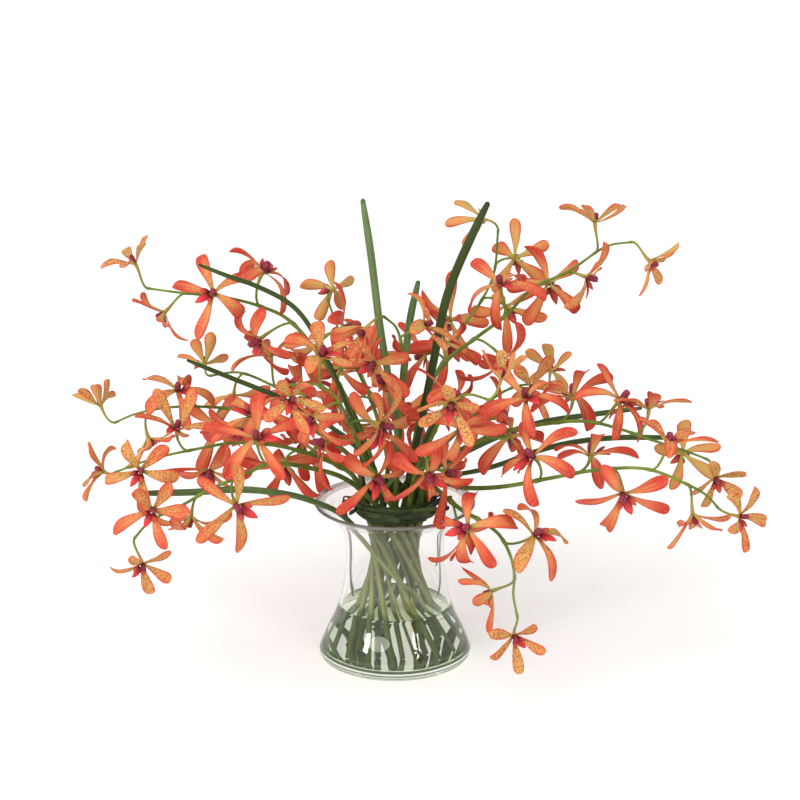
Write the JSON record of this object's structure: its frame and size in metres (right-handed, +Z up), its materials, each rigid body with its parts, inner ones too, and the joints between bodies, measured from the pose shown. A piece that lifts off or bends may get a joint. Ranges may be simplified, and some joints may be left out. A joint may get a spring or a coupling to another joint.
{
  "type": "cut vanda orchid",
  "caption": "Sprays of spotted orange orchid blooms and long round green leaves, bound with raffia and standing in water in a flared clear glass vase.",
  "frame": {"origin": "centre of the vase's foot, on the surface that it stands on", "axes": "+Z up; -Y the front, the side that the picture shows; +X to the viewer's right and along the longest extent"},
  "size_m": [0.6696, 0.4401, 0.4737],
  "materials": {
    "glass": "clear, polished",
    "water": "clear",
    "raffia": "dry natural fibre",
    "petal": "soft, matt",
    "leaf": "satin"
  },
  "bodies": {
    "root": {"vase": "glass", "water": "water", "raffia_tie": "raffia", "spray_top_left": "petal", "spray_left_upper": "petal", "spray_left_middle": "petal", "spray_left_lower": "petal", "spray_front_left": "petal", "spray_front_right": "petal", "spray_drooping": "petal", "spray_right_lower": "petal", "spray_right_middle": "petal", "spray_top_right": "petal", "spray_top_back": "petal", "spray_back_right": "petal", "spray_back": "petal", "spray_back_left": "petal", "spray_centre_left": "petal", "spray_centre_front": "petal", "leaf_tall": "leaf", "leaf_short_upright": "leaf", "leaf_broad": "leaf", "leaf_front_arched": "leaf", "leaf_left_middle": "leaf", "leaf_left_upper": "leaf", "leaf_left_low": "leaf", "leaf_right_upper": "leaf", "leaf_right_low": "leaf"}
  },
  "joints": []
}
